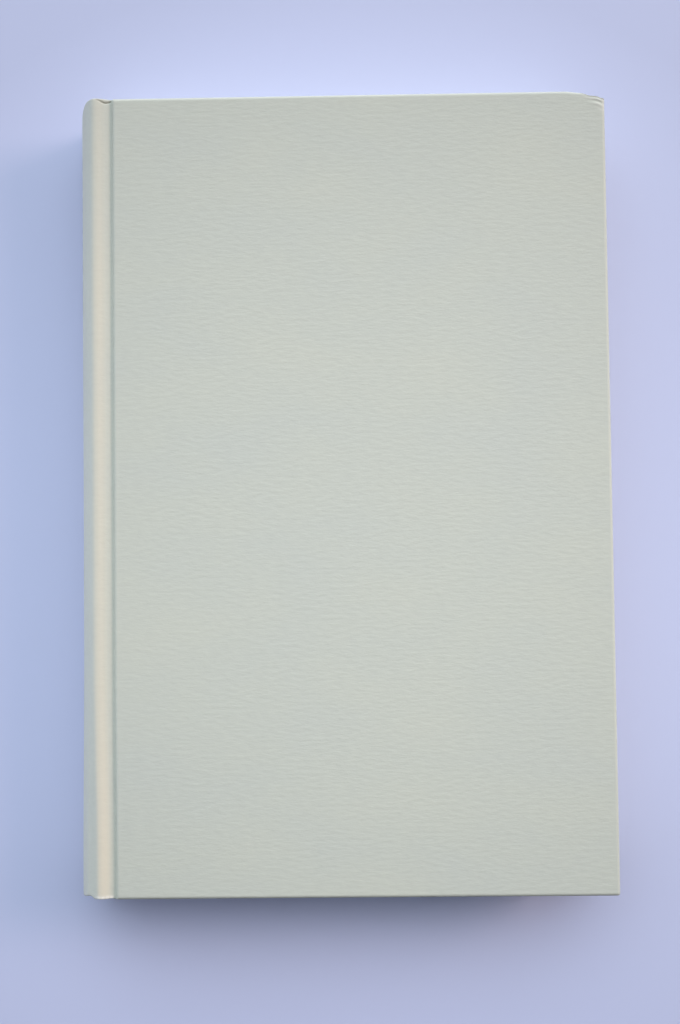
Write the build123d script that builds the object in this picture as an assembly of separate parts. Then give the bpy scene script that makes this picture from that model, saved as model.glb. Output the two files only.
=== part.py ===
"""A hardback book that lies closed on its back cover, spine to -X and head to +Y.

A rounded and backed text block sits in a case of two stiff boards and a spine card, which one
covering sheet wraps.  The cloth folds along a French groove beside each board, and there each
cover turns.  The origin is under the middle of the book, on the surface that it lies on.
"""
from build123d import *
from math import asin, cos, sin
import os

# Text block
PAGE_HEIGHT = 235.0
BLOCK_THICKNESS = 18.6
FORE_EDGE_HOLLOW = 4.0  # depth of the concave fore-edge at the middle leaf
FLYLEAF_THICKNESS = 0.2
SHOULDER_UNDER_BOARD = 0.8  # the backed shoulder is this much lower than a board is thick
SHOULDER_CLEARANCE = 0.35  # from the foot of the shoulder to the edge of the board

# Boards and the sheet that covers them
BOARD_WIDTH = 149.5
BOARD_THICKNESS = 2.5
BOARD_EDGE_ROUNDING = 0.5
JOINT_EDGE_ROUNDING = 1.4  # the edge beside the groove is pressed rounder than the others
SQUARE = 2.6  # how far a board reaches past the leaves at head, tail and fore-edge
COVERING_THICKNESS = 0.4
TURN_IN = 15.0  # width of the sheet folded over to the inner side
PASTEDOWN_THICKNESS = 0.2

# Bumped head corner of the front cover
BUMP_ALONG_HEAD = 8.6
BUMP_DEPTH = 2.1
BUMP_BOW = 0.45  # how far the crushed edge bows out from a straight line
BUMP_TIP_ROUNDING = 1.0

# Joint between a board and the spine
JOINT_WIDTH = 6.1  # from the edge of the board to the ridge
HINGE_OFFSET = 1.4  # from the edge of the board to the line where the cloth folds
HINGE_CLEARANCE = 0.3  # between the two sides of the fold
CLOTH_SLACK = 0.9  # the sheet bridges the groove this far over the inner side of the board
HINGE_ABOVE_COVER = 0.2  # the cover turns about a line this far over its outer face

# Spine
SPINE_ROUNDING = 5.5  # how far the spine bows out past its two ridges
RIDGE_ROUNDING = 2.2
SPINE_CARD_THICKNESS = 0.8
SPINE_CARD_SETBACK = 1.7  # from the ridge to the edge of the card
HOLLOW_GAP = 0.2  # between the turned-in sheet and the lined back of the leaves
HEADCAP_ROUNDING = 1.5  # worn corners of the spine at head and tail, seen from the front
MULL_THICKNESS = 0.3
MULL_SHORT = 14.0  # the gauze ends this far inside the head and tail of the leaves
MULL_FLANGE = 24.0  # width of the gauze under each pastedown
LINING_THICKNESS = 0.25
LINING_SHORT = 1.0
GLUE_LINE = 0.05  # between layers pasted on a curve
BAND_RADIUS = 0.8

# Levels, up from the surface that the back cover lies on
LEAF_LEVEL = (
    2 * COVERING_THICKNESS + BOARD_THICKNESS + PASTEDOWN_THICKNESS + FLYLEAF_THICKNESS
)
BOOK_THICKNESS = BLOCK_THICKNESS + 2 * LEAF_LEVEL
MIDDLE = BOOK_THICKNESS / 2
BOARD_OUTER = BOOK_THICKNESS - COVERING_THICKNESS
BOARD_INNER = BOARD_OUTER - BOARD_THICKNESS
PASTEDOWN_LEVEL = BOARD_INNER - COVERING_THICKNESS
FLYLEAF_LEVEL = PASTEDOWN_LEVEL - PASTEDOWN_THICKNESS
BLOCK_TOP = FLYLEAF_LEVEL - FLYLEAF_THICKNESS
GROOVE_LEVEL = BOARD_INNER + CLOTH_SLACK + COVERING_THICKNESS

# Lengths along the book
CASE_HEIGHT = PAGE_HEIGHT + 2 * SQUARE + 2 * COVERING_THICKNESS
BOARD_HEIGHT = CASE_HEIGHT - 2 * COVERING_THICKNESS
MULL_HEIGHT = PAGE_HEIGHT - 2 * MULL_SHORT

# Places across the book
BOOK_WIDTH = COVERING_THICKNESS + BOARD_WIDTH + JOINT_WIDTH + SPINE_ROUNDING
COVER_FORE_EDGE = BOOK_WIDTH / 2
BOARD_FORE_EDGE = COVER_FORE_EDGE - COVERING_THICKNESS
BOARD_SPINE_EDGE = BOARD_FORE_EDGE - BOARD_WIDTH
COVER_SPINE_EDGE = BOARD_SPINE_EDGE - COVERING_THICKNESS
LEAF_FORE_EDGE = BOARD_FORE_EDGE - SQUARE
HINGE_X = BOARD_SPINE_EDGE - HINGE_OFFSET
RIDGE_X = BOARD_SPINE_EDGE - JOINT_WIDTH
SHOULDER_FOOT = BOARD_SPINE_EDGE - SHOULDER_CLEARANCE

# Rounded back: every layer of the spine shares this centre
SPINE_RADIUS = (MIDDLE**2 + SPINE_ROUNDING**2) / (2 * SPINE_ROUNDING)
SPINE_CENTRE = -BOOK_WIDTH / 2 + SPINE_RADIUS
SHEET_INNER_RADIUS = SPINE_RADIUS - COVERING_THICKNESS
CARD_RADIUS = SHEET_INNER_RADIUS - GLUE_LINE
CARD_INNER_RADIUS = CARD_RADIUS - SPINE_CARD_THICKNESS
TURNED_RADIUS = CARD_INNER_RADIUS - GLUE_LINE - COVERING_THICKNESS
LINING_RADIUS = TURNED_RADIUS - HOLLOW_GAP
MULL_RADIUS = LINING_RADIUS - LINING_THICKNESS - GLUE_LINE
BACK_RADIUS = MULL_RADIUS - MULL_THICKNESS - GLUE_LINE
SHOULDER_HALF_HEIGHT = BLOCK_THICKNESS / 2 + BOARD_THICKNESS - SHOULDER_UNDER_BOARD
BACK_HALF_ANGLE = asin(SHOULDER_HALF_HEIGHT / BACK_RADIUS)
CARD_HALF_ANGLE = asin(MIDDLE / SPINE_RADIUS) - SPINE_CARD_SETBACK / SPINE_RADIUS
SHOULDER_X = SPINE_CENTRE - BACK_RADIUS * cos(BACK_HALF_ANGLE)


def along_book(face, length, centre=0.0):
    """A cross-section, drawn with X across and Y up, carried along the height of the book."""
    return extrude(Plane.XZ.offset(-centre) * face, amount=length / 2, both=True)


def slab(x_low, x_high, y_low, y_high, z_low, z_high):
    """A flat layer between three pairs of planes."""
    size = (x_high - x_low, y_high - y_low, z_high - z_low)
    return Pos(x_low, y_low, z_low) * Box(*size, align=(Align.MIN, Align.MIN, Align.MIN))


def mirrored(part):
    """The same layer on the back cover's side."""
    return mirror(part, about=Plane.XY.offset(MIDDLE))


def on_back(radius, angle):
    """A point on the rounded back, by its angle up from the middle leaf."""
    return (SPINE_CENTRE - radius * cos(angle), MIDDLE + radius * sin(angle))


def back_band(outer_radius, thickness, half_angle):
    """Section of a layer that follows the rounded back."""
    inner_radius = outer_radius - thickness
    outer = ThreePointArc(
        on_back(outer_radius, -half_angle),
        on_back(outer_radius, 0),
        on_back(outer_radius, half_angle),
    )
    inner = ThreePointArc(
        on_back(inner_radius, half_angle),
        on_back(inner_radius, 0),
        on_back(inner_radius, -half_angle),
    )
    ends = [Line(outer @ 1, inner @ 0), Line(inner @ 1, outer @ 0)]
    return make_face(Curve() + [outer, inner] + ends)


def shoulder_line(lift=0.0, side=1):
    """The curve that the outer leaves take from the flat of the block up to its shoulder."""
    level = MIDDLE + side * (BLOCK_THICKNESS / 2 + lift)
    tip = MIDDLE + side * (SHOULDER_HALF_HEIGHT + lift)
    return TangentArc((SHOULDER_FOOT, level), (SHOULDER_X, tip), tangent=(-1, 0))


def shoulder_sheet(low, high, x_end, side=1):
    """Section of a sheet that lies on a shoulder and ends at x_end."""
    lower = shoulder_line(low, side)
    upper = shoulder_line(high, side)
    edges = [lower, upper, Line(lower @ 1, upper @ 1), Line(lower @ 0, upper @ 0)]
    face = make_face(Curve() + edges)
    width = x_end - SHOULDER_X
    keep = Pos(SHOULDER_X + width / 2, MIDDLE) * Rectangle(width, 2 * BOOK_THICKNESS)
    return face & keep


def text_block():
    """All the leaves in one: backed shoulders, a rounded back and a hollow fore-edge."""
    upper = shoulder_line()
    lower = shoulder_line(side=-1)
    back = ThreePointArc(upper @ 1, on_back(BACK_RADIUS, 0), lower @ 1)
    block_bottom = BLOCK_TOP - BLOCK_THICKNESS
    fore_edge = ThreePointArc(
        (LEAF_FORE_EDGE, BLOCK_TOP),
        (LEAF_FORE_EDGE - FORE_EDGE_HOLLOW, MIDDLE),
        (LEAF_FORE_EDGE, block_bottom),
    )
    top = Line((SHOULDER_FOOT, BLOCK_TOP), fore_edge @ 0)
    bottom = Line(fore_edge @ 1, (SHOULDER_FOOT, block_bottom))
    section = make_face(Curve() + [upper, back, lower, top, fore_edge, bottom])
    return along_book(section, PAGE_HEIGHT)


def flyleaf():
    """The free half of an endpaper, which bends over the shoulder."""
    flat = slab(
        SHOULDER_FOOT, LEAF_FORE_EDGE,
        -PAGE_HEIGHT / 2, PAGE_HEIGHT / 2,
        BLOCK_TOP, FLYLEAF_LEVEL,
    )
    bent = along_book(shoulder_sheet(0, FLYLEAF_THICKNESS, SHOULDER_FOOT), PAGE_HEIGHT)
    return flat + bent


def mull():
    """Gauze glued over the back of the leaves and down both shoulders to the hinge lines."""
    tip_angle = BACK_HALF_ANGLE + (FLYLEAF_THICKNESS + MULL_THICKNESS) / BACK_RADIUS
    section = back_band(MULL_RADIUS, MULL_THICKNESS, tip_angle)
    low = FLYLEAF_THICKNESS
    high = low + MULL_THICKNESS
    for side in (1, -1):
        section += shoulder_sheet(low, high, HINGE_X - HINGE_CLEARANCE / 2, side)
    band = along_book(section, MULL_HEIGHT)
    return band - along_book(block_and_flyleaf_section(), MULL_HEIGHT)


def block_and_flyleaf_section():
    """What the gauze lies on: the back of the leaves with a flyleaf over each shoulder."""
    upper = shoulder_line(FLYLEAF_THICKNESS + GLUE_LINE)
    lower = shoulder_line(FLYLEAF_THICKNESS + GLUE_LINE, -1)
    back = ThreePointArc(upper @ 1, on_back(BACK_RADIUS, 0), lower @ 1)
    return make_face(Curve() + [upper, lower, back, Line(upper @ 0, lower @ 0)])


def mull_flange():
    """The part of the gauze glued under a board."""
    return slab(
        HINGE_X + HINGE_CLEARANCE / 2, BOARD_SPINE_EDGE + MULL_FLANGE,
        -MULL_HEIGHT / 2, MULL_HEIGHT / 2,
        BOARD_INNER - MULL_THICKNESS, BOARD_INNER,
    )


def spine_lining():
    """Paper over the gauze on the back of the leaves."""
    half_angle = BACK_HALF_ANGLE - LINING_SHORT / BACK_RADIUS
    band = back_band(LINING_RADIUS, LINING_THICKNESS, half_angle)
    return along_book(band, PAGE_HEIGHT - 2 * LINING_SHORT)


def end_band(end):
    """A beaded band across one end of the back, its tape under the lining paper."""
    half_angle = BACK_HALF_ANGLE - LINING_SHORT / BACK_RADIUS
    leaf_end = end * PAGE_HEIGHT / 2
    bead_centre = leaf_end + end * BAND_RADIUS
    tape_foot = end * MULL_HEIGHT / 2
    tape_section = back_band(MULL_RADIUS, MULL_THICKNESS, half_angle)
    tape = along_book(
        tape_section, abs(bead_centre - tape_foot), (bead_centre + tape_foot) / 2
    )
    bead_radius = MULL_RADIUS - BAND_RADIUS
    line = Plane.XZ.offset(-bead_centre) * ThreePointArc(
        on_back(bead_radius, -half_angle),
        on_back(bead_radius, 0),
        on_back(bead_radius, half_angle),
    )
    bead = sweep(Plane(origin=line @ 0, z_dir=line % 0) * Circle(BAND_RADIUS), path=line)
    return tape + bead


def headcap_outline(inset=0.0):
    """Outline of the spine seen from the front, worn round at head and tail."""
    low = -BOOK_WIDTH / 2 + inset
    high = HINGE_X
    outline = Pos((low + high) / 2, 0) * Rectangle(high - low, CASE_HEIGHT - 2 * inset)
    corners = outline.vertices().group_by(Axis.X)[0]
    return fillet(corners, HEADCAP_ROUNDING - inset)


def worn(part, inset=0.0):
    """A layer of the spine cut to the worn outline of its ends."""
    return part & extrude(headcap_outline(inset), amount=BOOK_THICKNESS)


def spine_card():
    """Stiff card that holds the spine of the case to its curve."""
    band = back_band(CARD_RADIUS, SPINE_CARD_THICKNESS, CARD_HALF_ANGLE)
    return worn(along_book(band, BOARD_HEIGHT), COVERING_THICKNESS)


def case_section():
    """Section of the spine and of both grooves, filled."""
    foot = HINGE_X - HINGE_CLEARANCE / 2
    far = HINGE_X + JOINT_WIDTH
    groove_low = BOOK_THICKNESS - GROOVE_LEVEL
    with BuildSketch() as filled:
        with BuildLine():
            Line((far, GROOVE_LEVEL), (foot, GROOVE_LEVEL))
            Line((foot, GROOVE_LEVEL), (RIDGE_X, BOOK_THICKNESS))
            ThreePointArc((RIDGE_X, BOOK_THICKNESS), (-BOOK_WIDTH / 2, MIDDLE), (RIDGE_X, 0))
            Line((RIDGE_X, 0), (foot, groove_low))
            Line((foot, groove_low), (far, groove_low))
            Line((far, groove_low), (far, GROOVE_LEVEL))
        make_face()
        ridges = filled.vertices().filter_by(lambda v: abs(v.X - RIDGE_X) < HINGE_CLEARANCE)
        fillet(ridges, RIDGE_ROUNDING)
    return filled.sketch


def sheet_layer(depth, x_low):
    """Section of the sheet this deep under its outer face, from x_low to the hinge lines."""
    filled = case_section()
    outer = offset(filled, -depth) if depth else filled
    layer = outer - offset(filled, -depth - COVERING_THICKNESS)
    x_high = HINGE_X - HINGE_CLEARANCE / 2
    keep = Pos((x_low + x_high) / 2, MIDDLE) * Rectangle(x_high - x_low, BOOK_THICKNESS)
    return layer & keep


def spine_covering():
    """The covering sheet round the spine, folded back at both ends over the card."""
    skin = worn(along_book(sheet_layer(0.0, -BOOK_WIDTH / 2), CASE_HEIGHT))
    fold_angle = CARD_HALF_ANGLE + COVERING_THICKNESS / SPINE_RADIUS
    fold = back_band(SHEET_INNER_RADIUS, SHEET_INNER_RADIUS - TURNED_RADIUS, fold_angle)
    fold += sheet_layer(COVERING_THICKNESS, on_back(CARD_RADIUS, CARD_HALF_ANGLE)[0])
    card_depth = SHEET_INNER_RADIUS - TURNED_RADIUS - COVERING_THICKNESS
    room = back_band(SHEET_INNER_RADIUS, card_depth, CARD_HALF_ANGLE)
    card_room = worn(along_book(room, BOARD_HEIGHT), COVERING_THICKNESS)
    for end in (1, -1):
        turn_in = along_book(fold, TURN_IN, end * (CASE_HEIGHT - TURN_IN) / 2)
        skin += worn(turn_in) - card_room
    return skin


def cover_outline(bumped, inset=0.0):
    """Outline of a cover seen from the front, with the crushed head corner if bumped."""
    left = COVER_SPINE_EDGE
    right = COVER_FORE_EDGE
    head = CASE_HEIGHT / 2
    outline = Pos((left + right) / 2, 0) * Rectangle(right - left, CASE_HEIGHT)
    if bumped:
        start = (right - BUMP_ALONG_HEAD, head)
        tip = (right, head - BUMP_DEPTH)
        middle = (right - BUMP_ALONG_HEAD / 2, head - BUMP_DEPTH / 2 + BUMP_BOW)
        crush = Curve() + [ThreePointArc(start, middle, tip), Line(tip, (right, head))]
        outline -= make_face(crush + Line((right, head), start))
        tips = outline.vertices().sort_by(Axis.X)[-2:]
        outline = fillet(tips.sort_by(Axis.Y)[-1], BUMP_TIP_ROUNDING)
    return offset(outline, -inset, kind=Kind.INTERSECTION) if inset else outline


def eased(plate, joint_rounding, rounding):
    """A plate with its upper edges rounded, the one beside the groove more than the others."""
    joint_edge = plate.faces().sort_by(Axis.Z)[-1].edges().sort_by(Axis.X)[0]
    plate = fillet(joint_edge, joint_rounding)
    top = plate.faces().sort_by(Axis.Z)[-1]
    rim = top.edges().sort_by(Axis.X)[1:]
    return fillet(rim, rounding)


def board(bumped):
    """A stiff board, its outer edges eased so that the sheet wraps them softly."""
    plate = Pos(0, 0, BOARD_INNER) * extrude(
        cover_outline(bumped, COVERING_THICKNESS), amount=BOARD_THICKNESS
    )
    return eased(plate, JOINT_EDGE_ROUNDING, BOARD_EDGE_ROUNDING)


def cover_covering(bumped):
    """The covering sheet on a board, with its turn-ins and the strip down in the groove.

    The strip is double at head and tail, where the sheet is folded back under itself.
    """
    wrapped = Pos(0, 0, PASTEDOWN_LEVEL) * extrude(
        cover_outline(bumped), amount=BOOK_THICKNESS - PASTEDOWN_LEVEL
    )
    wrapped = eased(
        wrapped,
        JOINT_EDGE_ROUNDING + COVERING_THICKNESS,
        BOARD_EDGE_ROUNDING + COVERING_THICKNESS,
    )
    wrapped -= slab(
        COVER_SPINE_EDGE, BOARD_FORE_EDGE - TURN_IN,
        TURN_IN - BOARD_HEIGHT / 2, BOARD_HEIGHT / 2 - TURN_IN,
        PASTEDOWN_LEVEL, BOARD_INNER,
    )
    strip_left = HINGE_X + HINGE_CLEARANCE / 2
    strip_low = GROOVE_LEVEL - COVERING_THICKNESS
    wrapped += slab(
        strip_left, BOARD_SPINE_EDGE,
        -CASE_HEIGHT / 2, CASE_HEIGHT / 2,
        strip_low, GROOVE_LEVEL,
    )
    for y_low in (-CASE_HEIGHT / 2, CASE_HEIGHT / 2 - TURN_IN):
        wrapped += slab(
            strip_left, BOARD_SPINE_EDGE,
            y_low, y_low + TURN_IN,
            strip_low - COVERING_THICKNESS, strip_low,
        )
    return wrapped - board(bumped)


def pastedown():
    """Endpaper glued inside a cover: it steps down from the turn-ins to the board."""
    half_height = PAGE_HEIGHT / 2
    field_right = BOARD_FORE_EDGE - TURN_IN
    field_left = BOARD_SPINE_EDGE + MULL_FLANGE
    field_half = BOARD_HEIGHT / 2 - TURN_IN
    sheet = slab(
        BOARD_SPINE_EDGE, LEAF_FORE_EDGE,
        -half_height, half_height,
        FLYLEAF_LEVEL, PASTEDOWN_LEVEL,
    )
    sheet += slab(
        field_left, field_right, -field_half, field_half, FLYLEAF_LEVEL, BOARD_INNER
    )
    wall = PASTEDOWN_THICKNESS
    return sheet - slab(
        field_left + wall, field_right - wall,
        wall - field_half, field_half - wall,
        FLYLEAF_LEVEL, BOARD_INNER - PASTEDOWN_THICKNESS,
    )


def pieces():
    """Every piece of the book by its name."""
    front_board = board(bumped=True)
    back_board = mirrored(board(bumped=False))
    free_leaf = flyleaf()
    flange = mull_flange()
    endpaper = pastedown()
    return {
        "text_block": text_block(),
        "front_flyleaf": free_leaf,
        "back_flyleaf": mirrored(free_leaf),
        "mull": mull(),
        "front_mull_flange": flange,
        "back_mull_flange": mirrored(flange),
        "spine_lining": spine_lining(),
        "head_band": end_band(1),
        "tail_band": end_band(-1),
        "spine_card": spine_card(),
        "spine_covering": spine_covering(),
        "front_board": front_board,
        "back_board": back_board,
        "front_covering": cover_covering(bumped=True),
        "back_covering": mirrored(cover_covering(bumped=False)),
        "front_pastedown": endpaper,
        "back_pastedown": mirrored(endpaper),
    }


os.makedirs("parts", exist_ok=True)
for name, piece in pieces().items():
    export_step(piece, f"parts/{name}.step")
print("book", round(BOOK_WIDTH, 2), round(CASE_HEIGHT, 2), round(BOOK_THICKNESS, 2))
print("hinge line x", round(HINGE_X, 3), "front z", BOOK_THICKNESS + HINGE_ABOVE_COVER)
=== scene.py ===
from math import asin, cos, pi, radians, sin

import bpy
import numpy as np
from mathutils import Matrix, Vector


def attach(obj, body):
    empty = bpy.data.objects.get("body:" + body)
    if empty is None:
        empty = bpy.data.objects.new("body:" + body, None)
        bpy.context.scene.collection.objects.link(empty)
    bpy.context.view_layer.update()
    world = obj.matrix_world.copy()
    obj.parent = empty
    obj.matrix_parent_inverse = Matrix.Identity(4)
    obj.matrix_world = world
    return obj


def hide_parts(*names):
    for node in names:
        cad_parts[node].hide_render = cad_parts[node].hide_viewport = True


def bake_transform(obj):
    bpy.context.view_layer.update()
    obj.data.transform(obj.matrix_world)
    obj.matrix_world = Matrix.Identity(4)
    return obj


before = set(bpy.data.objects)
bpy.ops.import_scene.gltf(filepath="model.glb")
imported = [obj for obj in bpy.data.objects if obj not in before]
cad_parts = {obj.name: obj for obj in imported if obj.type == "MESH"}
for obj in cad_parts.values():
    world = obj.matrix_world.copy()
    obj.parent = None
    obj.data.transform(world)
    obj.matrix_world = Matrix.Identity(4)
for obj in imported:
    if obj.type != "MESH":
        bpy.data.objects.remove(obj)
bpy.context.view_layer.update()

# Sizes of the book, in millimetres
CASE_HEIGHT = 241.0
BOOK_THICKNESS = 26.0
MIDDLE = BOOK_THICKNESS / 2
COVERING_THICKNESS = 0.4
BOARD_THICKNESS = 2.5
TURN_IN = 15.0
SPINE_OUTER = -80.25
FORE_EDGE = 80.65
SPINE_ROUNDING = 5.0
SPINE_RADIUS = (MIDDLE**2 + SPINE_ROUNDING**2) / (2 * SPINE_ROUNDING)
SPINE_CENTRE = SPINE_OUTER + SPINE_RADIUS
SPINE_STEPS = 50
TURNED_RADIUS = SPINE_RADIUS - 1.3
TURNED_SHARE = 0.94
CARD_THICKNESS = 0.45
FRONT_RIDGE_X = -74.5
BACK_RIDGE_X = -75.0
RIDGE_ROUNDING = 3.2
RIDGE_BEND = 0.11
BROW = (-71.4, BOOK_THICKNESS - 0.15)
BROW_ROUNDING = 2.6
UNDER_BROW = (-71.5, 24.1)
GROOVE_LEVEL = 25.08
GROOVE_LEFT = -69.5
GROOVE_RIGHT = -68.75
GROOVE_ROUNDING = (0.7, 0.3)
UNDER_GROOVE = (GROOVE_LEFT - 0.1, 23.3)
FLAT_START = GROOVE_RIGHT + 4
BOARD_EDGE_ROUNDING = 1.5
EDGE_ROUNDING = 0.9
INNER_LEVEL = BOOK_THICKNESS - BOARD_THICKNESS - 2 * COVERING_THICKNESS
BOARD_OUTER = BOOK_THICKNESS - COVERING_THICKNESS
CORNER_ROUNDING = 0.8
CARD_HALF_ANGLE = radians(40)
CARD_INSET = 0.9

# Wear at the head and tail of the spine
HEAD_CORNER = (3.7, 7.0)
HEAD_CREASE_X = -70.9
HEAD_CREASE_DIP = 1.0
HEAD_CREASE_DEPTH = 0.3
TAIL_FLANK_SHORT = 1.15
TAIL_FLARE = 0.5
TAIL_RIDGE_SHORT = 0.25
TAIL_LEAN = 0.8
TAIL_SPREAD = 0.45
LEAN_RUN = (45, 115)
FLANK_EDGE = (-76.6, -75.4)
RIDGE_FOOT = -72.5
JOINT_EDGE = (-70.5, -69)

# Leaves, endpapers and the gauze under the pastedowns
PAGE_HEIGHT = 235.0
BLOCK_THICKNESS = 18.6
LEAF_FORE_EDGE = 77.75
FORE_EDGE_HOLLOW = 4.0
SHOULDER_FOOT = -69.5
SHOULDER_BEND = 5.915
FLYLEAF_LEVEL = 22.5
ENDPAPER_THICKNESS = 0.15
MULL_ABOVE = 0.2
MULL_THICKNESS = 0.15
MULL_HALF = 103.4
BACK_RADIUS = 15.6
BACK_CENTRE = -62.64
SHOULDER_HALF_HEIGHT = 11.0
SHOULDER_TIP = -73.3
SHOULDER_POWER = 2.15
LEAVES_SHOWN = 150
LEAF_JOG = 0.05

# Bumped head corner of the front cover
BUMP_START = 69.0
BUMP_SLOPE = 0.12
BUMP_STEP = 0.46
BUMP_REACH = 3.5

# Recess of a pastedown between the turn-ins
FIELD_LEFT = -45.15
FIELD_RIGHT = 65.35
FIELD_HALF = 105.1
FIELD_DEPTH = 0.4

# Two plain broken rules stamped along the spine
RULES_TOP = 105.5
RULES_BOTTOM = 53.5
RULE_PITCH = 6.5
RULE_SHARE = 0.7
RULE_OFF_MIDDLE = 5.0
RULE_HALF_WIDTH = 0.6
SPINE_SIDE = -77.0

# Colours
SAGE = ((0.532, 0.567, 0.508), (0.54, 0.573, 0.505), (0.55, 0.58, 0.505))
# Painted light: the warm cream of the ridge where it faces the warm lamp
RIDGE_LIT_CREAM = (0.93, 0.77, 0.56)
# Pale of rubbing, also a painted highlight on the curled tail lip and the fold crests
RUBBED_AND_LIT_PALE = (0.92, 0.91, 0.84)
# Dark used for the crushed corner's rim and for painted shade in creases and along the tail edge
SOIL_AND_SHADE_DARK = (0.13, 0.12, 0.07)
STAMPED = (0.09, 0.11, 0.10)
ENDPAPER = (0.78, 0.76, 0.69)
GREY_BOARD = (0.42, 0.40, 0.36)
LINING = (0.60, 0.50, 0.36)
TABLE = ((0.565, 0.625, 0.86), (0.58, 0.64, 0.88))
SKY = (0.868, 0.935, 1.0)

# The camera, its focal length in pixels of the frame's height
FOCAL_LENGTH = 1175
FRAME_HEIGHT = 1024
SENSOR = 36
CAMERA_TURN = (("X", 2.15), ("Y", 0.794), ("Z", -0.701))
CAMERA_PLACE = (4.07, -19.38, 377.32)
TABLE_REACH = 3000

MM = 0.001


def spread(corners, count):
    """Points evenly spaced between the given stops."""
    return np.concatenate(
        [np.linspace(a, b, n, endpoint=False) for a, b, n in zip(corners, corners[1:], count)]
        + [[corners[-1]]]
    )


def eased_path(corners, radii, samples=7):
    """A path through the corners, each bent round its radius."""
    corners = np.array(corners, float)
    path = [corners[0]]
    for before, corner, after, radius in zip(corners, corners[1:], corners[2:], radii[1:]):
        if not radius:
            path.append(corner)
            continue
        back, ahead = before - corner, after - corner
        back_length, ahead_length = np.linalg.norm(back), np.linalg.norm(ahead)
        back, ahead = back / back_length, ahead / ahead_length
        half_turn = (pi - np.arccos(np.clip(back @ ahead, -1, 1))) / 2
        reach = min(radius * np.tan(half_turn), back_length * 0.75, ahead_length * 0.75)
        for t in np.linspace(0, 1, samples):
            start, end = corner + back * reach, corner + ahead * reach
            path.append((1 - t) ** 2 * start + 2 * t * (1 - t) * corner + t**2 * end)
    path.append(corners[-1])
    return np.array(path)


def along_path(path, shares):
    """Points at the given shares of a path's length."""
    lengths = np.concatenate([[0], np.cumsum(np.linalg.norm(np.diff(path, axis=0), axis=1))])
    at = np.asarray(shares) * lengths[-1]
    return np.stack([np.interp(at, lengths, path[:, k]) for k in (0, 1)], axis=1)


def arc_point(radius, angle):
    """A point of the rounded spine, by its angle up from the middle."""
    return (SPINE_CENTRE - radius * cos(angle), MIDDLE + radius * sin(angle))


def smooth(value, low, high):
    """A soft step from 0 at low to 1 at high."""
    t = np.clip((value - low) / (high - low), 0, 1)
    return t * t * (3 - 2 * t)


def bell(value, middle, width):
    """A soft hump, 1 at the middle and fading over the width."""
    return np.exp(-(((value - middle) / width) ** 2))


def sheet_sections(ridge_x):
    """Outer and inner section of the wrapped sheet, from the middle of the spine to the board."""
    ridge_angle = np.arccos((SPINE_CENTRE - ridge_x) / SPINE_RADIUS)
    angles = np.append(np.linspace(0, ridge_angle - RIDGE_BEND, SPINE_STEPS), ridge_angle)
    outer = [arc_point(SPINE_RADIUS, a) for a in angles]
    inner = [arc_point(TURNED_RADIUS, a * TURNED_SHARE) for a in angles]
    outer += [
        BROW,
        (GROOVE_LEFT, GROOVE_LEVEL),
        (GROOVE_RIGHT, GROOVE_LEVEL),
        (GROOVE_RIGHT + 0.2, BOOK_THICKNESS),
        (FLAT_START, BOOK_THICKNESS),
    ]
    inner += [
        UNDER_BROW,
        UNDER_GROOVE,
        (GROOVE_RIGHT, INNER_LEVEL),
        (GROOVE_RIGHT + 0.6, INNER_LEVEL),
        (FLAT_START, INNER_LEVEL),
    ]
    bends = [RIDGE_ROUNDING, BROW_ROUNDING, *GROOVE_ROUNDING, BOARD_EDGE_ROUNDING]
    radii = [0] * SPINE_STEPS + bends + [0]
    outer, inner = np.array(outer), np.array(inner)
    stops = np.concatenate([[0], np.cumsum(np.linalg.norm(np.diff(outer, axis=0), axis=1))])
    shares = np.linspace(0, 1, 100)
    at = shares * stops[-1]
    inner = np.stack([np.interp(at, stops, inner[:, k]) for k in (0, 1)], axis=1)
    return along_path(eased_path(outer, radii), shares), inner


def worn_corner(x, size):
    """How much is missing at x from an outer corner of the spine, worn to a quarter ellipse."""
    across, along = size
    left = np.clip((across - (x - SPINE_OUTER)) / across, 0, 1)
    return along * (1 - np.sqrt(1 - 0.93 * left**2))


def head_end(x):
    """How far the covering reaches towards the head at x."""
    on_spine = 1 - smooth(x, -70, -69)
    return CASE_HEIGHT / 2 - worn_corner(x, HEAD_CORNER) * on_spine


def tail_end(x):
    """How far the covering reaches towards the tail at x; the spine's side flares outwards."""
    on_flank = 1 - smooth(x, *FLANK_EDGE)
    flank = TAIL_FLANK_SHORT - TAIL_FLARE * np.clip(-76 - x, 0, None)
    ridge = TAIL_RIDGE_SHORT * (1 - smooth(x, *JOINT_EDGE))
    return CASE_HEIGHT / 2 - ridge * (1 - on_flank) - flank * on_flank


def tailward(points):
    """How far towards the tail a point lies, 0 above the lean and 1 near the tail."""
    return smooth(-points[..., 1], *LEAN_RUN)


def leaned(points):
    """The ridge leans away from the spine's edge towards the tail, as on a cocked book."""
    x, low = points[..., 0], tailward(points)
    raised = np.clip((points[..., 2] - 24) / 2, 0, 1)
    share = np.where(x < RIDGE_FOOT, raised, 1 - 0.65 * smooth(x, RIDGE_FOOT, -70))
    share = share * (1 - smooth(x, -68.9, -66))
    moved = points.copy()
    moved[..., 0] += TAIL_LEAN * low * share
    moved[..., 0] -= TAIL_SPREAD * low * (1 - raised) * (x < RIDGE_FOOT)
    return moved


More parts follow.
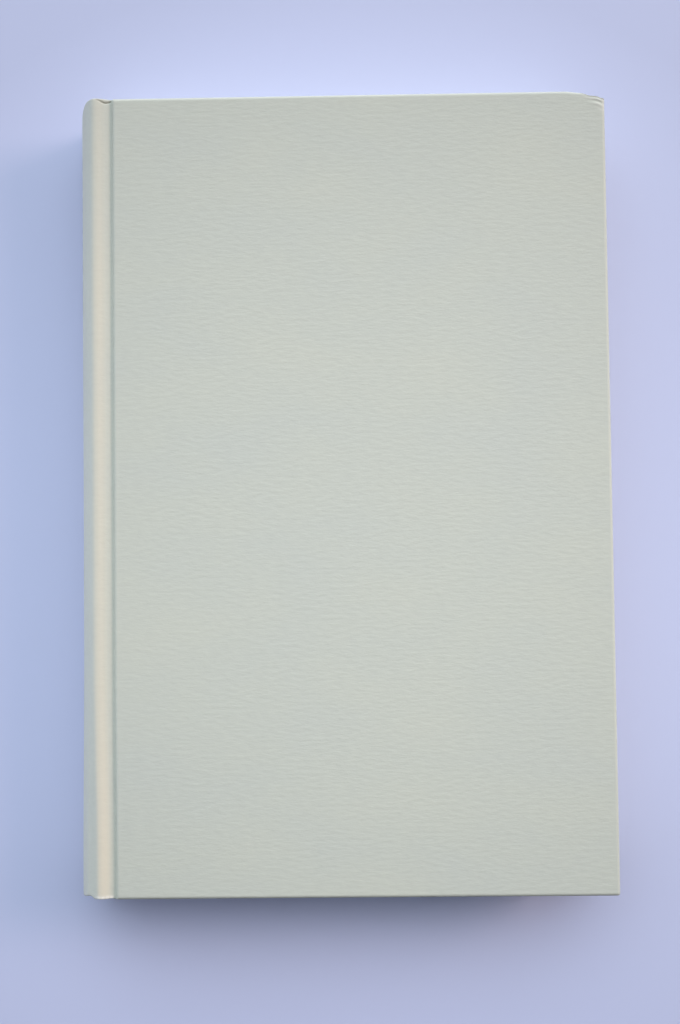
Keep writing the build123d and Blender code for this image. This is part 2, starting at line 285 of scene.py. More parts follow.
def rim_steps(rounding, depth):
    """Inset and depth of each ring round the edge of the sheet, from its face to its turn-in."""
    lower = np.minimum(0.5, depth * 0.4)
    upper = np.minimum(rounding, depth * 0.5)
    rings = []
    for t in np.radians([22.5, 45, 67.5, 90]):
        rings.append((upper * (1 - sin(t)), upper * (1 - cos(t))))
    for share in (0.33, 0.67):
        rings.append((0 * depth, upper + share * (depth - lower - upper)))
    for t in np.radians([0, 30, 60, 90]):
        rings.append((lower * (1 - cos(t)), depth - lower + lower * sin(t)))
    for inset in (2, 4.5, 8, 11.5, TURN_IN):
        rings.append((inset + 0 * depth, depth))
    return rings


def rounded_corner(points, radius):
    """Eases the two fore-edge corners of a cover, seen from above."""
    a = (points[..., 0] - (FORE_EDGE - radius)) / radius
    b = (np.abs(points[..., 1]) - (CASE_HEIGHT / 2 - radius)) / radius
    inside = (a > 0) & (b > 0)
    a, b = np.where(inside, a, 1), np.where(inside, b, 1)
    scale = np.where(inside, np.maximum(a, b) / np.hypot(a, b), 1)
    side = np.sign(points[..., 1])
    x = FORE_EDGE - radius + a * radius * scale
    y = side * (CASE_HEIGHT / 2 - radius + b * radius * scale)
    moved = points.copy()
    moved[..., 0] = np.where(inside, x, points[..., 0])
    moved[..., 1] = np.where(inside, y, points[..., 1])
    return moved


def bump_depth(x):
    """How deep the crushed head corner is at x."""
    steps = smooth(x, 73.6, 76.4) + smooth(x, 78.2, 80)
    return BUMP_SLOPE * np.clip(x - BUMP_START, 0, None) + BUMP_STEP * steps


def bumped(points):
    """The crushed head corner: its edge pushed in, the sheet standing in folds behind it."""
    x, y, z = points[..., 0], points[..., 1], points[..., 2]
    depth = bump_depth(x)
    inside = CASE_HEIGHT / 2 - y
    moved = points.copy()
    moved[..., 1] = y - depth * np.exp(-np.clip(inside, 0, None) / BUMP_REACH)
    behind = np.clip(CASE_HEIGHT / 2 - depth - moved[..., 1], 0, None)
    fold = 0.1 * bell(behind, 1.05, 0.3) - 0.05 * bell(behind, 1.7, 0.28)
    fold += 0.1 * bell(behind, 2.6, 0.5)
    fold *= smooth(x, 74.5, 78) * (0.9 + 0.2 * np.sin(x * 1.7))
    sunk = 0.15 * smooth(x, 74, 80.5) * np.exp(-behind / 0.8)
    on_top = np.clip((z - INNER_LEVEL) / (BOOK_THICKNESS - INNER_LEVEL), 0, 1)
    moved[..., 2] = z + (fold - sunk) * on_top
    return moved


def bump_wear_and_shade(points):
    """Where the crushed corner is darkened (below zero) and lightened (above): darker along its
    turned-down rim, painted shade in the dip between the folds, and rubbed pale with painted
    highlight on the fold crests.
    """
    x = points[..., 0]
    behind = CASE_HEIGHT / 2 - bump_depth(x) - points[..., 1]
    # Rubbed pale with painted highlight on the first fold's crest; darker along the rim
    wear_and_painted_light = 0.35 * bell(behind, 1.1, 0.3) - 0.72 * bell(behind, 0.25, 0.38)
    # Painted shade in the dip between the folds
    wear_and_painted_light -= 0.1 * bell(behind, 1.7, 0.28) * smooth(x, 75, 78)
    # Rubbed pale with painted highlight on the second fold and behind it
    wear_and_painted_light += 0.25 * bell(behind, 2.5, 0.5) * smooth(x, 76, 79)
    wear_and_painted_light += 0.16 * bell(behind, 3.7, 0.8) * smooth(x, 77, 79.5)
    return wear_and_painted_light * smooth(x, 72.5, 76) * (points[..., 2] > MIDDLE)


def head_crease(points):
    """How near a point lies to the crease across the joint at the head, 1 on its line."""
    x, y = points[..., 0], points[..., 1]
    dip = 0.3 + HEAD_CREASE_DIP * bell(x, HEAD_CREASE_X, 1.7)
    near = bell(CASE_HEIGHT / 2 - y, dip, 0.26)
    return near * smooth(x, -74.0, -71.8) * (1 - smooth(x, -69.6, -68.7))


def spine_wear_and_painted_light(points):
    """Painted shadow in the crease at the head, painted shade along the tail edge of the flank,
    and the rubbed, frayed fold at the tail of the ridge, lightened further by a painted highlight
    where it curls up.
    """
    x, y = points[..., 0], points[..., 1]
    left = y + tail_end(x)
    on_lip = smooth(x, -75.2, -73.6) * (1 - smooth(x, -69.9, -69))
    frayed = 0.8 + 0.2 * np.sin(x * 5.1) + 0.15 * np.sin(x * 11.7)
    # The rubbed, frayed lip, lightened further by a painted highlight where it curls up
    wear_and_painted_light = 1.1 * on_lip * frayed * np.exp(-(left**4))
    # Painted shade along the tail edge of the spine's flank
    wear_and_painted_light -= 0.45 * (1 - smooth(x, -76.6, -75.6)) * bell(left, 0, 0.22)
    # Painted shadow of the fold in the crease across the joint at the head
    wear_and_painted_light -= 0.62 * head_crease(points)
    return wear_and_painted_light * (points[..., 2] > MIDDLE)


def painted_ridge_light(points):
    """How much painted warm light lies on the ridge, more towards the tail: cream where the ridge
    faces the warm lamp.
    """
    x, y = points[..., 0] - TAIL_LEAN * tailward(points), points[..., 1]
    on_ridge = smooth(x, -75.6, -74.0) * (1 - smooth(x, -72.4, -70.2))
    along = 0.14 + 0.07 * smooth(-y, -110, -60) + 0.16 * smooth(-y, 30, 115)
    return on_ridge * along * (points[..., 2] > MIDDLE)


def grid_faces(index, flip=False):
    """Faces between neighbouring rows and columns of vertex numbers."""
    a, b, c, d = index[:-1, :-1], index[1:, :-1], index[1:, 1:], index[:-1, 1:]
    order = (a, d, c, b) if flip else (a, b, c, d)
    return np.stack([part.ravel() for part in order], axis=1)


def new_mesh(name, points, faces):
    """A smooth-shaded mesh from points in millimetres."""
    mesh = bpy.data.meshes.new(name)
    mesh.from_pydata((np.asarray(points) * MM).tolist(), [], np.asarray(faces).tolist())
    mesh.validate()
    mesh.shade_smooth()
    mesh.set_sharp_from_angle(angle=radians(50))
    thing = bpy.data.objects.new(name, mesh)
    bpy.context.scene.collection.objects.link(thing)
    return thing


def thickened(thing, thickness, inner_material=0):
    """The piece given its thickness inwards, as part of its mesh."""
    solid = thing.modifiers.new("thickness", "SOLIDIFY")
    solid.thickness = thickness * MM
    solid.offset = -1
    solid.material_offset = inner_material
    depsgraph = bpy.context.evaluated_depsgraph_get()
    mesh = bpy.data.meshes.new_from_object(thing.evaluated_get(depsgraph))
    thing.modifiers.clear()
    thing.data = mesh
    return thing


def turned_over(points, faces):
    """The same piece of the back cover, a mirror of the front one."""
    points[:, 2] = BOOK_THICKNESS - points[:, 2]
    return points, faces[:, ::-1]


def sheet_outline(ridge_x):
    """Outer and inner section across a half of the covering sheet, and where its board starts."""
    outer, inner = sheet_sections(ridge_x)
    board_start = outer[-1, 0]
    board_x = spread([board_start, 60, 70, FORE_EDGE - EDGE_ROUNDING], [52, 18, 42])[1:]
    flat = np.stack([board_x, np.full(len(board_x), BOOK_THICKNESS)], axis=1)
    under = np.stack([board_x, np.full(len(board_x), INNER_LEVEL)], axis=1)
    return np.concatenate([outer, flat]), np.concatenate([inner, under]), board_start


def sheet_face(outer, rows_y, rounding):
    """The outer face of a half of the sheet, column by column from tail to head."""
    head = (head_end(outer[:, 0]) - rounding)[:, None]
    tail = (tail_end(outer[:, 0]) - rounding)[:, None]
    face = np.zeros((len(outer), len(rows_y), 3))
    face[..., 0] = outer[:, None, 0]
    face[..., 1] = rows_y[None, :] * np.where(rows_y[None, :] > 0, head, tail)
    face[..., 2] = outer[:, None, 1]
    return face


def sheet_rim(outer, inner, board_start, rows_y, rounding):
    """Rings of points round the edge of the sheet and in along its turn-ins."""
    head, tail = head_end(outer[:, 0]), tail_end(outer[:, 0])
    depth = np.linalg.norm(inner - outer, axis=1)
    board = outer[:, 0] >= board_start
    span = FORE_EDGE - EDGE_ROUNDING - board_start
    rings = []
    for inset, deep in rim_steps(rounding, depth):
        line = outer + (inner - outer) * (deep / depth)[:, None]
        x = line[:, 0].copy()
        fore = FORE_EDGE - inset[-1]
        x[board] = board_start + (x[board] - board_start) * (fore - board_start) / span
        head_line = np.stack([x, head - inset, line[:, 1]], axis=1)
        tail_line = np.stack([x, inset - tail, line[:, 1]], axis=1)
        side_y = rows_y * (CASE_HEIGHT / 2 - inset[-1])
        rows = len(rows_y)
        side = np.stack([np.full(rows, fore), side_y, np.full(rows, line[-1, 1])], axis=1)
        rings.append(np.concatenate([tail_line, side[1:-1], head_line[::-1]]))
    return np.array(rings)


def sheet_faces(columns, rows, ring_shape):
    """Faces of the sheet's outer face and of the rings that start from its edge."""
    face_index = np.arange(columns * rows).reshape(columns, rows)
    edge = np.concatenate([face_index[:, 0], face_index[-1, 1:-1], face_index[::-1, -1]])
    ring_index = columns * rows + np.arange(ring_shape[0] * ring_shape[1])
    ring_index = np.concatenate([edge[None, :], ring_index.reshape(ring_shape)])
    return np.concatenate([grid_faces(face_index), grid_faces(ring_index)])


def covering_sheet(name, ridge_x, front, materials):
    """Half of the covering sheet: a cover with its turn-ins, the joint and half the spine."""
    outer, inner, board_start = sheet_outline(ridge_x)
    half = CASE_HEIGHT / 2
    rows_y = spread([-1, -1 + 3 / half, 1 - 10 / half, 1], [12, 92, 44])
    on_board = smooth(outer[:, 0], GROOVE_RIGHT, GROOVE_RIGHT + 0.8)
    rounding = COVERING_THICKNESS + (EDGE_ROUNDING - COVERING_THICKNESS) * on_board
    face = sheet_face(outer, rows_y, rounding)
    if front:
        face[..., 2] -= HEAD_CREASE_DEPTH * head_crease(face)
    rings = sheet_rim(outer, inner, board_start, rows_y, rounding)
    points = np.concatenate([face.reshape(-1, 3), rings.reshape(-1, 3)])
    points = leaned(rounded_corner(points, CORNER_ROUNDING))
    faces = sheet_faces(len(outer), len(rows_y), rings.shape[:2])
    wear_and_painted_light = ridge_painted_light = np.zeros(len(points))
    if front:
        points = bumped(points)
        # Rubbing, painted highlights and painted shade on the front sheet; painted warm light on
        # its ridge
        wear_and_painted_light = bump_wear_and_shade(points) + spine_wear_and_painted_light(points)
        ridge_painted_light = painted_ridge_light(points)
    else:
        points, faces = turned_over(points, faces)
    sheet = new_mesh(name, points, faces)
    for material in materials:
        sheet.data.materials.append(material)
    for title, values in (("wear_and_painted_light", wear_and_painted_light), ("ridge_painted_light", ridge_painted_light)):
        sheet.data.attributes.new(title, "FLOAT", "POINT").data.foreach_set("value", values)
    return thickened(sheet, COVERING_THICKNESS, inner_material=1)


def plate(name, upper, lower, head, tail):
    """A stiff plate between an upper and a lower section line, from its tail to its head end."""
    ring = np.concatenate([upper, lower[::-1]])
    ends = []
    for end in (-tail(ring[:, 0]), head(ring[:, 0])):
        ends.append(np.stack([ring[:, 0], end, ring[:, 1]], axis=1))
    points = np.concatenate(ends)
    count = len(ring)
    loop = np.append(np.arange(count), 0)
    faces = [grid_faces(np.stack([loop, loop + count]))]
    strip = np.stack([np.arange(len(upper)), count - 1 - np.arange(len(upper))])
    faces += [grid_faces(strip, flip=True), grid_faces(strip + count)]
    return new_mesh(name, points, np.concatenate(faces))


def board_plate(name, front):
    """A cover's board; the edge beside the groove is pressed round."""
    left, right = GROOVE_RIGHT + 0.5, FORE_EDGE - COVERING_THICKNESS
    inner_level = BOARD_OUTER - BOARD_THICKNESS
    turns = np.linspace(0, pi / 2, 7)
    radius = BOARD_EDGE_ROUNDING - COVERING_THICKNESS
    bend = [(left + radius * (1 - cos(t)), BOARD_OUTER - radius * (1 - sin(t))) for t in turns]
    spine_side = np.array(bend + [(left + 2, BOARD_OUTER)])
    run = np.linspace(left + 3, right, 60)
    upper = np.concatenate([spine_side, np.stack([run, np.full(60, BOARD_OUTER)], axis=1)])
    lower = np.stack([upper[:, 0], np.full(len(upper), inner_level)], axis=1)
    half = CASE_HEIGHT / 2 - COVERING_THICKNESS

    def head(x):
        return half - bump_depth(x) * front

    def tail(x):
        return half + 0 * x

    if not front:
        upper, lower = lower * (1, -1) + (0, BOOK_THICKNESS), upper * (1, -1) + (0, BOOK_THICKNESS)
    return plate(name, upper, lower, head, tail)


def spine_stiffener():
    """The card in the spine, bent to its round."""
    angles = np.linspace(-CARD_HALF_ANGLE, CARD_HALF_ANGLE, 40)
    radius = SPINE_RADIUS - COVERING_THICKNESS - 0.05
    upper = np.array([arc_point(radius, a) for a in angles])
    lower = np.array([arc_point(radius - CARD_THICKNESS, a) for a in angles])

    def head(x):
        return head_end(x) - CARD_INSET

    def tail(x):
        return tail_end(x) - CARD_INSET

    return plate("spine_stiffener", lower, upper, head, tail)


def leaf_back(turn):
    """Where a leaf meets the rounded back; turn is -1 at the bottom leaf and 1 at the top."""
    angle = asin(SHOULDER_HALF_HEIGHT / BACK_RADIUS) * turn
    return np.array((BACK_CENTRE - BACK_RADIUS * cos(angle), MIDDLE + BACK_RADIUS * sin(angle)))


def leaf_points(turn, run, ys, jog):
    """One leaf, by its place between the bottom (-1) and the top (1) and its small jogs."""
    level = MIDDLE + turn * BLOCK_THICKNESS / 2
    back = leaf_back(turn)
    fore = LEAF_FORE_EDGE - FORE_EDGE_HOLLOW * (1 - turn**2)
    x = back[0] + (fore - back[0]) * run
    up = np.clip((SHOULDER_FOOT - x) / (SHOULDER_FOOT - back[0]), 0, 1) ** SHOULDER_POWER
    end = np.where(np.abs(ys) > PAGE_HEIGHT / 2 - 0.01, 1, 0) * np.sign(ys)
    fore_jog, head_jog, tail_jog = jog
    leaf = np.zeros((len(run), len(ys), 3))
    leaf[..., 0] = x[:, None] + (run**8)[:, None] * fore_jog[None, :]
    leaf[..., 1] = ys[None, :] + (end * np.where(end > 0, head_jog, -tail_jog))[None, :]
    leaf[..., 2] = (level + (back[1] - level) * up)[:, None]
    return leaf


def text_block():
    """The leaves, each a little out of line with the next, fanned out over the shoulders."""
    turns = np.linspace(-1, 1, LEAVES_SHOWN + 1)
    run = np.concatenate([np.linspace(0, 1, 12) ** 0.8 * 0.06, spread([0.07, 0.9, 1], [16, 8])])
    ys = spread([-1, -0.97, 0.97, 1], [3, 34, 3]) * PAGE_HEIGHT / 2
    random = np.random.default_rng(11)
    points = np.zeros((len(turns), len(run), len(ys), 3))
    for i, turn in enumerate(turns):
        inner = 0 < i < len(turns) - 1
        jog = random.normal(0, LEAF_JOG, 3) * inner
        wave = 0.04 * np.sin(ys / 23 + i * 0.21) * inner
        points[i] = leaf_points(turn, run, ys, (jog[0] + wave, jog[1], jog[2]))
    index = np.arange(points[..., 0].size).reshape(points.shape[:3])
    faces = np.concatenate([
        grid_faces(index[0], flip=True), grid_faces(index[-1]),
        grid_faces(index[:, 0]), grid_faces(index[:, -1], flip=True),
        grid_faces(index[:, :, 0]), grid_faces(index[:, :, -1], flip=True),
    ])
    used = np.unique(faces)
    renumber = np.zeros(points[..., 0].size, int)
    renumber[used] = np.arange(len(used))
    return new_mesh("page_block", points.reshape(-1, 3)[used], renumber[faces])


def joint_section(strip_level, flat_level, flat_x):
    """Section of a sheet down the shoulder, across the joint and on along the board."""
    strip_x = np.linspace(SHOULDER_TIP, SHOULDER_FOOT, 22)
    bend = SHOULDER_BEND - np.sqrt(SHOULDER_BEND**2 - (strip_x - SHOULDER_FOOT) ** 2)
    strip = np.stack([strip_x, strip_level + bend], axis=1)
    flat = np.stack([flat_x, np.full(len(flat_x), flat_level)], axis=1)
    return np.concatenate([strip, flat])


def section_points(section, ys):
    """A section carried along the book, as rows of points."""
    points = np.zeros((len(section), len(ys), 3))
    points[..., 0] = section[:, None, 0]
    points[..., 1] = ys[None, :]
    points[..., 2] = section[:, None, 1]
    return points


def inner_sheet(name, points, thickness, front):
    """A thin sheet inside a cover, from rows of points on its leaf side."""
    faces = grid_faces(np.arange(points[..., 0].size).reshape(points.shape[:2]), flip=True)
    points = points.reshape(-1, 3)
    if not front:
        points, faces = turned_over(points, faces)
    return thickened(new_mesh(name, points, faces), thickness)


def mull_sheet(name, front):
    """The gauze under a pastedown, from the shoulder across the joint to the board."""
    level = FLYLEAF_LEVEL + MULL_ABOVE
    section = joint_section(level, level, np.linspace(-69.2, FIELD_LEFT - 0.1, 14))
    points = section_points(section, np.linspace(-MULL_HALF, MULL_HALF, 40))
    return inner_sheet(name, points, MULL_THICKNESS, front)


def pastedown_sheet(name, front):
    """The endpaper on a cover, with its strip across the joint and up the shoulder."""
    field_x = [FIELD_LEFT - 1, FIELD_LEFT + 2, FIELD_RIGHT - 2, FIELD_RIGHT + 1]
    flat_x = spread([-69.2, *field_x, LEAF_FORE_EDGE], [10, 12, 30, 12, 8])
    section = joint_section(FLYLEAF_LEVEL + 0.03, FLYLEAF_LEVEL, flat_x)
    half = PAGE_HEIGHT / 2
    field_y = [-FIELD_HALF - 1, -FIELD_HALF + 2, FIELD_HALF - 2, FIELD_HALF + 1]
    points = section_points(section, spread([-half, *field_y, half], [6, 12, 40, 12, 6]))
    x, y = points[..., 0], points[..., 1]
    in_field = smooth(x, FIELD_LEFT - 0.3, FIELD_LEFT + 1.2)
    in_field = in_field * (1 - smooth(x, FIELD_RIGHT - 1.2, FIELD_RIGHT + 0.3))
    in_field = in_field * (1 - smooth(np.abs(y), FIELD_HALF - 1.2, FIELD_HALF + 0.3))
    points[..., 2] += (FIELD_DEPTH - ENDPAPER_THICKNESS) * in_field
    return inner_sheet(name, points, ENDPAPER_THICKNESS, front)


def add(tree, kind, settings=None, **inputs):
    """A node with its properties and inputs set; an input may be a value or another socket."""
    node = tree.nodes.new(kind)
    for key, value in (settings or {}).items():
        setattr(node, key, value)
    for key, value in inputs.items():
        numbered = key[0] == "i" and key[1:].isdigit()
        socket = node.inputs[int(key[1:]) if numbered else key.replace("_", " ")]
        if isinstance(value, bpy.types.NodeSocket):
            tree.links.new(value, socket)
        else:
            socket.default_value = value
    return node


def new_material(name):
    """An empty node material and its shader."""
    material = bpy.data.materials.new(name)
    material.use_nodes = True
    tree = material.node_tree
    return material, tree, tree.nodes["Principled BSDF"]


def place(tree, scale):
    """Position on the object, stretched by scale, in cycles a metre."""
    where = add(tree, "ShaderNodeTexCoord").outputs["Object"]
    return add(tree, "ShaderNodeMapping", Vector=where, Scale=scale).outputs["Vector"]


def noise(tree, scale, detail=2.0, roughness=0.5):
    """A soft random pattern."""
    made = add(
        tree, "ShaderNodeTexNoise",
        Vector=place(tree, scale), Scale=1.0, Detail=detail, Roughness=roughness,
    )
    return made.outputs["Fac"]


def ramp(tree, factor, stops):
    """Colours by a factor."""
    node = add(tree, "ShaderNodeValToRGB", Fac=factor)
    elements = node.color_ramp.elements
    while len(elements) < len(stops):
        elements.new(0.5)
    for element, (position, colour) in zip(elements, stops):
        element.position = position
        element.color = (*colour, 1)
    return node.outputs["Color"]


def calc(tree, operation, first, second=0.0):
    """One sum of two values."""
    return add(tree, "ShaderNodeMath", {"operation": operation}, i0=first, i1=second).outputs[0]


def mapped(tree, value, source, target, clamp=True):
    """A value carried from one range to another."""
    node = add(tree, "ShaderNodeMapRange", {"clamp": clamp}, Value=value)
    names = ("From Min", "From Max", "To Min", "To Max")
    for name, limit in zip(names, (*source, *target)):
        node.inputs[name].default_value = limit
    return node.outputs["Result"]


def multiplied(tree, colour, shade):
    """The colour darkened or lightened by a shade."""
    node = add(tree, "ShaderNodeMix", {"data_type": "RGBA", "blend_type": "MULTIPLY"}, Factor=1.0)
    tree.links.new(colour, node.inputs[6])
    tree.links.new(shade, node.inputs[7])
    return node.outputs[2]


def painted_falloff_shade(tree, colour, fade, reach, middle):
    """The colour with painted shade: darker by fade at that distance in metres from a point low on
    the book, as the light falls off away from it.
    """
    where = add(tree, "ShaderNodeTexCoord").outputs["Object"]
    flat = add(
        tree, "ShaderNodeMapping", Vector=where, Scale=(1, 1, 0), Location=(0, -middle, 0),
    ).outputs["Vector"]
    far = add(tree, "ShaderNodeVectorMath", {"operation": "DOT_PRODUCT"}, i0=flat, i1=flat)
    share = mapped(tree, far.outputs["Value"], (0, reach**2), (0, 1))
    shade = ramp(tree, share, [(0, (1, 1, 1)), (1, (1 - fade,) * 3)])
    return multiplied(tree, colour, shade)


def bump(tree, height, distance, strength=1.0, normal=None):
    """A fine relief, in metres."""
    node = add(tree, "ShaderNodeBump", Height=height, Distance=distance, Strength=strength)
    if normal is not None:
        tree.links.new(normal, node.inputs["Normal"])
    return node.outputs["Normal"]


def blended(tree, factor, colour, other):
    """One colour laid over another by a factor."""
    node = add(tree, "ShaderNodeMix", {"data_type": "RGBA"})
    tree.links.new(factor, node.inputs[0])
    tree.links.new(colour, node.inputs[6])
    node.inputs[7].default_value = (*other, 1)
    return node.outputs[2]


def stamped_rules(tree):
    """Where two plain broken rules are stamped along the spine, a little rubbed."""
    where = add(tree, "ShaderNodeTexCoord").outputs["Object"]
    parts = add(tree, "ShaderNodeSeparateXYZ", Vector=where).outputs
    span = ((RULES_TOP - RULE_PITCH) * MM, RULES_TOP * MM)
    share = calc(tree, "FRACT", mapped(tree, parts["Y"], span, (1, 0), False))
    off_middle = calc(tree, "ABSOLUTE", calc(tree, "SUBTRACT", parts["Z"], MIDDLE * MM))
    off_rule = calc(tree, "ABSOLUTE", calc(tree, "SUBTRACT", off_middle, RULE_OFF_MIDDLE * MM))
    stamped = mapped(tree, noise(tree, (500, 500, 500), 3), (0.35, 0.6), (0.55, 0.95))
    for test, value, limit in (
        ("LESS_THAN", share, RULE_SHARE),
        ("LESS_THAN", parts["Y"], RULES_TOP * MM),
        ("GREATER_THAN", parts["Y"], RULES_BOTTOM * MM),
        ("LESS_THAN", off_rule, RULE_HALF_WIDTH * MM),
        ("LESS_THAN", parts["X"], SPINE_SIDE * MM),
    ):
        stamped = calc(tree, "MULTIPLY", stamped, calc(tree, test, value, limit))
    return stamped


def covering_material():
    """Sage paper embossed with a linen grain, its streaks running across the book."""
    material, tree, shader = new_material("covering_linen")
    patches = noise(tree, (25, 40, 40), 3)
    streaks = noise(tree, (300, 1000, 1000), 3)
    fine = noise(tree, (900, 3000, 3000), 2)
    colour = ramp(tree, patches, list(zip((0.3, 0.5, 0.7), SAGE)))
    shade = ramp(tree, streaks, [(0.3, (0.972, 0.972, 0.975)), (0.7, (1.022, 1.022, 1.02))])
    colour = multiplied(tree, colour, shade)
    # Painted warm light: the ridge blended towards cream where it faces the warm lamp
    ridge_painted_light = add(tree, "ShaderNodeAttribute", {"attribute_name": "ridge_painted_light"}).outputs["Fac"]
    colour = blended(tree, ridge_painted_light, colour, RIDGE_LIT_CREAM)
    colour = blended(tree, stamped_rules(tree), colour, STAMPED)
    # Rubbing together with painted highlights and painted shade, pale above zero and dark below
    wear_and_painted_light = add(tree, "ShaderNodeAttribute", {"attribute_name": "wear_and_painted_light"}).outputs["Fac"]
    wear_and_painted_light = calc(tree, "MULTIPLY", wear_and_painted_light, mapped(tree, streaks, (0.3, 0.7), (0.7, 1.3)))
    colour = blended(tree, mapped(tree, wear_and_painted_light, (0, 1), (0, 0.9)), colour, RUBBED_AND_LIT_PALE)
    colour = blended(tree, mapped(tree, wear_and_painted_light, (0, -1), (0, 0.9)), colour, SOIL_AND_SHADE_DARK)
    # Painted shade: the covering darkens away from a point low on the book, as light falling off
    tree.links.new(painted_falloff_shade(tree, colour, 0.26, 0.183, -0.015), shader.inputs["Base Color"])
    shader.inputs["Roughness"].default_value = 0.62
    coarse = bump(tree, streaks, 0.00006)
    tree.links.new(bump(tree, fine, 0.00002, 1.0, coarse), shader.inputs["Normal"])
    return material


def paper_material(name, colour, scale, depth=0.97):
    """Uncoated paper: its colour drifts a little and its surface is faintly fibrous."""
    material, tree, shader = new_material(name)
    drift = noise(tree, (60, 60, 60), 4)
    darker = tuple(depth * c for c in colour)
    fibres = noise(tree, scale, 4)
    shade = ramp(tree, fibres, [(0.35, (0.95, 0.95, 0.94)), (0.65, (1, 1, 1))])
    tinted = multiplied(tree, ramp(tree, drift, [(0.3, darker), (0.7, colour)]), shade)
    tree.links.new(tinted, shader.inputs["Base Color"])
    shader.inputs["Roughness"].default_value = 0.85
    tree.links.new(bump(tree, fibres, 0.00004), shader.inputs["Normal"])
    return material


def page_material():
    """The cut edges of the leaves: fine dark streaks along the book, painted shade in the gaps
    between the leaves, and the darker joins of sections.
    """
    material, tree, shader = new_material("page_edges")
    painted_leaf_gaps = noise(tree, (18, 18, 5200), 3, 0.7)
    sections = noise(tree, (6, 6, 620), 2)
    paper = ramp(tree, sections, [(0.35, (0.74, 0.71, 0.62)), (0.6, (0.84, 0.82, 0.74))])
    # Painted shade in the gaps between the leaves
    shade = ramp(tree, painted_leaf_gaps, [(0.32, (0.78, 0.77, 0.75)), (0.6, (1, 1, 1))])
    dust = ramp(tree, noise(tree, (160, 160, 60), 4), [(0.4, (0.94, 0.93, 0.9)), (0.6, (1, 1, 1))])
    tinted = multiplied(tree, multiplied(tree, paper, shade), dust)
    tree.links.new(tinted, shader.inputs["Base Color"])
    shader.inputs["Roughness"].default_value = 0.9
    tree.links.new(bump(tree, painted_leaf_gaps, 0.00015), shader.inputs["Normal"])
    return material


def waves(tree, direction, scale):
    """Even bands across one axis, scale of them to 31 centimetres."""
    where = add(tree, "ShaderNodeTexCoord").outputs["Object"]
    settings = {"wave_type": "BANDS", "bands_direction": direction}
    return add(tree, "ShaderNodeTexWave", settings, Vector=where, Scale=scale).outputs["Fac"]


def band_material():
    """End band: two colours of thread wound side by side."""
    material, tree, shader = new_material("end_band_cloth")
    turns = waves(tree, "Z", 260)
    colour = ramp(tree, turns, [(0.42, (0.30, 0.36, 0.30)), (0.58, (0.80, 0.78, 0.70))])
    fuzz = ramp(tree, noise(tree, (2500, 2500, 2500), 3), [(0.3, (0.86,) * 3), (0.7, (1,) * 3)])
    tree.links.new(multiplied(tree, colour, fuzz), shader.inputs["Base Color"])
    shader.inputs["Roughness"].default_value = 0.7
    tree.links.new(bump(tree, waves(tree, "Z", 520), 0.0001), shader.inputs["Normal"])
    return material


def gauze_material():
    """Open-weave gauze stiffened with glue."""
    material, tree, shader = new_material("mull_gauze")
    warp, weft = waves(tree, "Y", 250), waves(tree, "X", 250)
    weave = calc(tree, "MAXIMUM", warp, weft)
    colour = ramp(tree, weave, [(0.4, (0.46, 0.43, 0.35)), (0.8, (0.76, 0.74, 0.68))])
    tree.links.new(colour, shader.inputs["Base Color"])
    shader.inputs["Roughness"].default_value = 0.8
    tree.links.new(bump(tree, weave, 0.0001), shader.inputs["Normal"])
    return material


def finish_node(name, material):
    """Gives a CAD node its material."""
    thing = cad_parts[name]
    thing.data.materials.clear()
    thing.data.materials.append(material)


def stage_floor():
    """The pale table under the book, unseen from below."""
    reach = TABLE_REACH
    corners = [(-reach, -reach, 0), (reach, -reach, 0), (reach, reach, 0), (-reach, reach, 0)]
    floor = new_mesh("table_top", corners, [(0, 1, 2, 3)])
    material, tree, shader = new_material("table_pale")
    grain = noise(tree, (6, 6, 6), 2)
    colour = ramp(tree, grain, list(zip((0.3, 0.7), TABLE)))
    # Painted shade: the table darkens away from a point near the book, as light falling off
    tree.links.new(painted_falloff_shade(tree, colour, 0.26, 0.195, -0.022), shader.inputs["Base Color"])
    shader.inputs["Roughness"].default_value = 0.7
    clear = add(tree, "ShaderNodeBsdfTransparent")
    side = add(tree, "ShaderNodeNewGeometry").outputs["Backfacing"]
    mixed = add(tree, "ShaderNodeMixShader", Fac=side, i1=shader.outputs[0], i2=clear.outputs[0])
    tree.links.new(mixed.outputs[0], tree.nodes["Material Output"].inputs["Surface"])
    floor.data.materials.append(material)


def camera():
    """The photograph's view: from straight above, turned and tilted by a degree or two."""
    data = bpy.data.cameras.new("camera")
    thing = bpy.data.objects.new("camera", data)
    bpy.context.scene.collection.objects.link(thing)
    data.sensor_fit = "AUTO"
    data.sensor_width = SENSOR
    data.lens = SENSOR * FOCAL_LENGTH / FRAME_HEIGHT
    turn = Matrix.Identity(4)
    for axis, degrees in CAMERA_TURN:
        turn = turn @ Matrix.Rotation(radians(degrees), 4, axis)
    thing.matrix_world = Matrix.Translation(Vector(CAMERA_PLACE) * MM) @ turn
    bpy.context.scene.camera = thing


def area_light(name, place_mm, size_mm, power, colour):
    """A soft light that faces the book."""
    data = bpy.data.lights.new(name, "AREA")
    data.size = size_mm * MM
    data.energy = power
    data.color = colour
    thing = bpy.data.objects.new(name, data)
    bpy.context.scene.collection.objects.link(thing)
    thing.location = Vector(place_mm) * MM
    thing.rotation_mode = "QUATERNION"
    thing.rotation_quaternion = (-thing.location).to_track_quat("-Z", "Y")


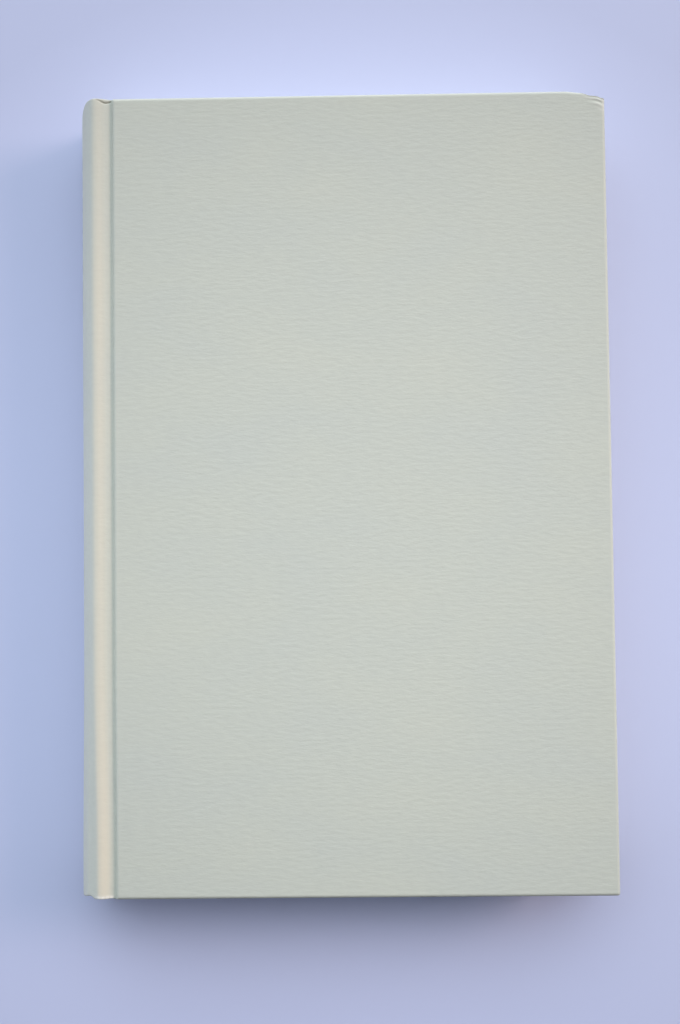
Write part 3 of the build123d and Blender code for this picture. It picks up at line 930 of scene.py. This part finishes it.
def lights():
    """A cool sky beyond the head of the book, a low warm window to its right."""
    area_light("right_window", (1500, 500, 900), 700, 16.5, (1.0, 0.731, 0.646))
    area_light("left_glow", (-1200, -100, 300), 600, 2.4, (0.85, 0.75, 1.0))
    world = bpy.data.worlds.new("room")
    bpy.context.scene.world = world
    world.use_nodes = True
    tree = world.node_tree
    where = add(tree, "ShaderNodeTexCoord").outputs["Generated"]
    toward_head = add(tree, "ShaderNodeSeparateXYZ", Vector=where).outputs["Y"]
    glow = mapped(tree, toward_head, (-0.2, 0.8), (0.0, 2.868))
    tree.nodes["Background"].inputs["Color"].default_value = (*SKY, 1)
    tree.links.new(glow, tree.nodes["Background"].inputs["Strength"])


covering = covering_material()
endpaper = paper_material("endpaper", ENDPAPER, (900, 900, 900))
leaves = page_material()
board = paper_material("grey_board", GREY_BOARD, (700, 700, 2400), 0.85)
gauze = gauze_material()
lining = paper_material("lining_paper", LINING, (300, 1500, 1500), 0.9)
band = band_material()

sides = (covering, endpaper)
front_sheet = covering_sheet("front_covering_sheet", FRONT_RIDGE_X, True, sides)
back_sheet = covering_sheet("back_covering_sheet", BACK_RIDGE_X, False, sides)
for sheet, cover, node in (
    (front_sheet, "front_cover", "front_covering"),
    (back_sheet, "back_cover", "back_covering"),
):
    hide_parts(node, "spine_covering")
    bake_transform(sheet)

block = text_block()
block.data.materials.append(leaves)
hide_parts("text_block")
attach(block, "text_block")

for side in ("front", "back"):
    stiff = board_plate(f"{side}_board_plate", front=side == "front")
    stiff.data.materials.append(board)
    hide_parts(f"{side}_board")
    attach(stiff, f"{side}_cover")

card = spine_stiffener()
card.data.materials.append(board)
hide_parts("spine_card")
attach(card, "text_block")

for side in ("front", "back"):
    finish_node(f"{side}_flyleaf", endpaper)
    pastedown = pastedown_sheet(f"{side}_pastedown_sheet", front=side == "front")
    pastedown.data.materials.append(endpaper)
    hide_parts(f"{side}_pastedown")
    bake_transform(pastedown)
    flange = mull_sheet(f"{side}_mull_sheet", front=side == "front")
    flange.data.materials.append(gauze)
    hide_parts(f"{side}_mull_flange")
    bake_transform(flange)
finish_node("mull", gauze)
finish_node("spine_lining", lining)
finish_node("head_band", band)
finish_node("tail_band", band)

stage_floor()
camera()
lights()
bpy.context.scene.view_settings.view_transform = "Standard"
